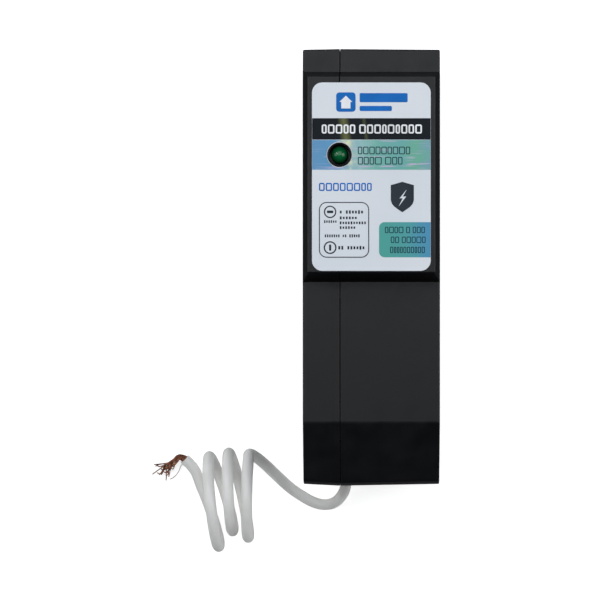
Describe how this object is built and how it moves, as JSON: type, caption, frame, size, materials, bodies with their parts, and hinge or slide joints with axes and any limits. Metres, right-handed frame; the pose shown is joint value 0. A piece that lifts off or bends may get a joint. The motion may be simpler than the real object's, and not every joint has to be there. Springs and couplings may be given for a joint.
{
  "type": "whole house surge protector",
  "caption": "Plug-on whole house surge protector for a load centre: raised labelled nose with an indicator lamp, riveted black case, line jaws and a white neutral pigtail.",
  "frame": {"origin": "middle of the flat back face, with the unit lying on its back", "axes": "+Z out of the label face, +Y towards the bus end with the line jaws, X across the two pole spaces"},
  "size_m": [0.083, 0.1435, 0.067],
  "materials": {
    "case_plastic": "moulded charcoal black thermoplastic, satin with a fine texture",
    "label_foil": "silver-white printed foil label",
    "led_green": "translucent green epoxy lens, unlit",
    "trim_plastic": "black nylon",
    "tinned_metal": "tin-plated copper",
    "rivet_steel": "zinc-plated steel",
    "spring_steel": "spring steel",
    "arm_brass": "phosphor bronze or brass strip",
    "board_laminate": "green glass-epoxy laminate",
    "varistor_epoxy": "blue epoxy coating",
    "fuse_ceramic": "white ceramic tube",
    "capacitor_film": "yellow moulded case",
    "resistor_body": "tan coated body",
    "diode_body": "black epoxy body",
    "barrier_board": "grey vulcanised fibre sheet",
    "wire_insulation": "white PVC wire insulation, slightly translucent",
    "copper_strands": "bare stranded copper, slightly dulled"
  },
  "bodies": {
    "root": {"case_rivet_1": "rivet_steel", "case_rivet_2": "rivet_steel", "case_rivet_3": "rivet_steel", "case_rivet_4": "rivet_steel", "circuit_board": "board_laminate", "disconnect_pin_1": "spring_steel", "disconnect_pin_2": "spring_steel", "disconnect_spring_1": "spring_steel", "disconnect_spring_2": "spring_steel", "film_capacitor": "capacitor_film", "flex_braid_1": "copper_strands", "flex_braid_2": "copper_strands", "fuse_barrier": "barrier_board", "fuse_link_1": "tinned_metal", "fuse_link_2": "tinned_metal", "jaw_spring_1_bus": "spring_steel", "jaw_spring_1_tail": "spring_steel", "jaw_spring_2_bus": "spring_steel", "jaw_spring_2_tail": "spring_steel", "led_bezel": "trim_plastic", "led_lead_long": "tinned_metal", "led_lead_short": "tinned_metal", "led_lens": "led_green", "line_fuse_1_body": "fuse_ceramic", "line_fuse_1_cap_lower": "tinned_metal", "line_fuse_1_cap_upper": "tinned_metal", "line_fuse_2_body": "fuse_ceramic", "line_fuse_2_cap_lower": "tinned_metal", "line_fuse_2_cap_upper": "tinned_metal", "line_jaw_1": "tinned_metal", "line_jaw_2": "tinned_metal", "line_strap_1": "tinned_metal", "line_strap_2": "tinned_metal", "main_case": "case_plastic", "neutral_lead_inner": "wire_insulation", "neutral_terminal": "tinned_metal", "pigtail_coil": "wire_insulation", "pigtail_lead": "wire_insulation", "pigtail_tail": "wire_insulation", "rating_label": "label_foil", "rectifier_diode": "diode_body", "resistor_1": "resistor_body", "resistor_2": "resistor_body", "resistor_3": "resistor_body", "side_cover": "case_plastic", "solder_tab_1": "tinned_metal", "solder_tab_2": "tinned_metal", "stripped_strands": "copper_strands", "varistor_1": "varistor_epoxy", "varistor_2": "varistor_epoxy", "varistor_between_lines": "varistor_epoxy", "wire_bushing": "trim_plastic"},
    "thermal_arm_1": {"disconnect_arm_1": "arm_brass"},
    "thermal_arm_2": {"disconnect_arm_2": "arm_brass"}
  },
  "joints": [
    {"name": "thermal_disconnect_1", "type": "hinge", "parent": "root", "child": "thermal_arm_1", "pos_m": [0.0098, 0.033, 0.045], "axis": [-1, 0, 0], "range_deg": [0, 25], "deforming": ["disconnect_spring_1", "flex_braid_1"]},
    {"name": "thermal_disconnect_2", "type": "hinge", "parent": "root", "child": "thermal_arm_2", "pos_m": [0.0098, -0.0055, 0.042], "axis": [-1, 0, 0], "range_deg": [0, 25], "deforming": ["disconnect_spring_2", "flex_braid_2"]}
  ]
}
